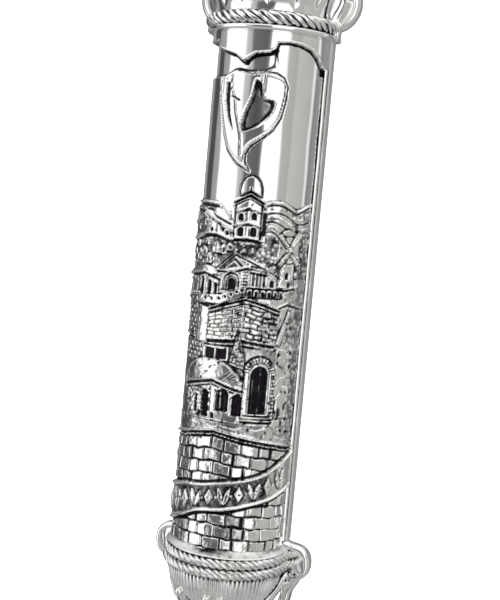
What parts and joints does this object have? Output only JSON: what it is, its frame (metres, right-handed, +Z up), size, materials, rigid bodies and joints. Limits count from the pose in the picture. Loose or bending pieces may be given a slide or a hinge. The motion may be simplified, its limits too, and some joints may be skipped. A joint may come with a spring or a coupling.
{
  "type": "mezuzah case",
  "caption": "Half-round metal doorpost case with rope bands, crown, ears and town relief, and a lift-off back over a rolled parchment.",
  "frame": {"origin": "centre of the upper screw hole, on the wall plane", "axes": "+Z up along the case, +X to the right seen from the front, +Y into the wall, so the front faces -Y"},
  "size_m": [0.0352, 0.0187, 0.1561],
  "materials": {
    "polished_silver": "mirror polished silver plate",
    "oxidised_silver": "cast silver plate, black oxide left in the recesses and the high places polished",
    "rope_silver": "twisted wire, polished with dark grooves",
    "back_metal": "brushed plain back",
    "parchment": "matte rolled parchment",
    "clear_sleeve": "thin clear film"
  },
  "bodies": {
    "case": {"front_shell": "polished_silver", "back_frame": "back_metal", "upper_collar": "polished_silver", "side_rim": "polished_silver", "flame_emblem": "polished_silver", "town_relief": "oxidised_silver", "stone_wall": "oxidised_silver", "ribbon_banner": "oxidised_silver", "top_ring": "polished_silver", "top_rope": "rope_silver", "top_crown": "polished_silver", "top_ear_right": "polished_silver", "top_ear_left": "polished_silver", "top_lug": "polished_silver", "bottom_cove": "polished_silver", "bottom_rope_upper": "rope_silver", "bottom_rope_lower": "rope_silver", "bottom_cup": "oxidised_silver", "bottom_ear_right": "polished_silver", "bottom_ear_left": "polished_silver", "cup_leaf_right": "polished_silver", "cup_leaf_left": "polished_silver", "cup_pearls": "polished_silver", "bottom_lug": "polished_silver"},
    "back_cover": {"back_cover": "back_metal"},
    "scroll": {"klaf_roll": "parchment", "klaf_sleeve": "clear_sleeve"}
  },
  "joints": [
    {"name": "cover_lift", "type": "slide", "parent": "case", "child": "back_cover", "axis": [0, 1, 0], "range_m": [0, 0.03]},
    {"name": "scroll_lift", "type": "slide", "parent": "case", "child": "scroll", "axis": [0, 1, 0], "range_m": [0, 0.015]}
  ],
  "couplings": [
    {"joint": "scroll_lift", "follows": "cover_lift", "ratio": 0.5}
  ]
}
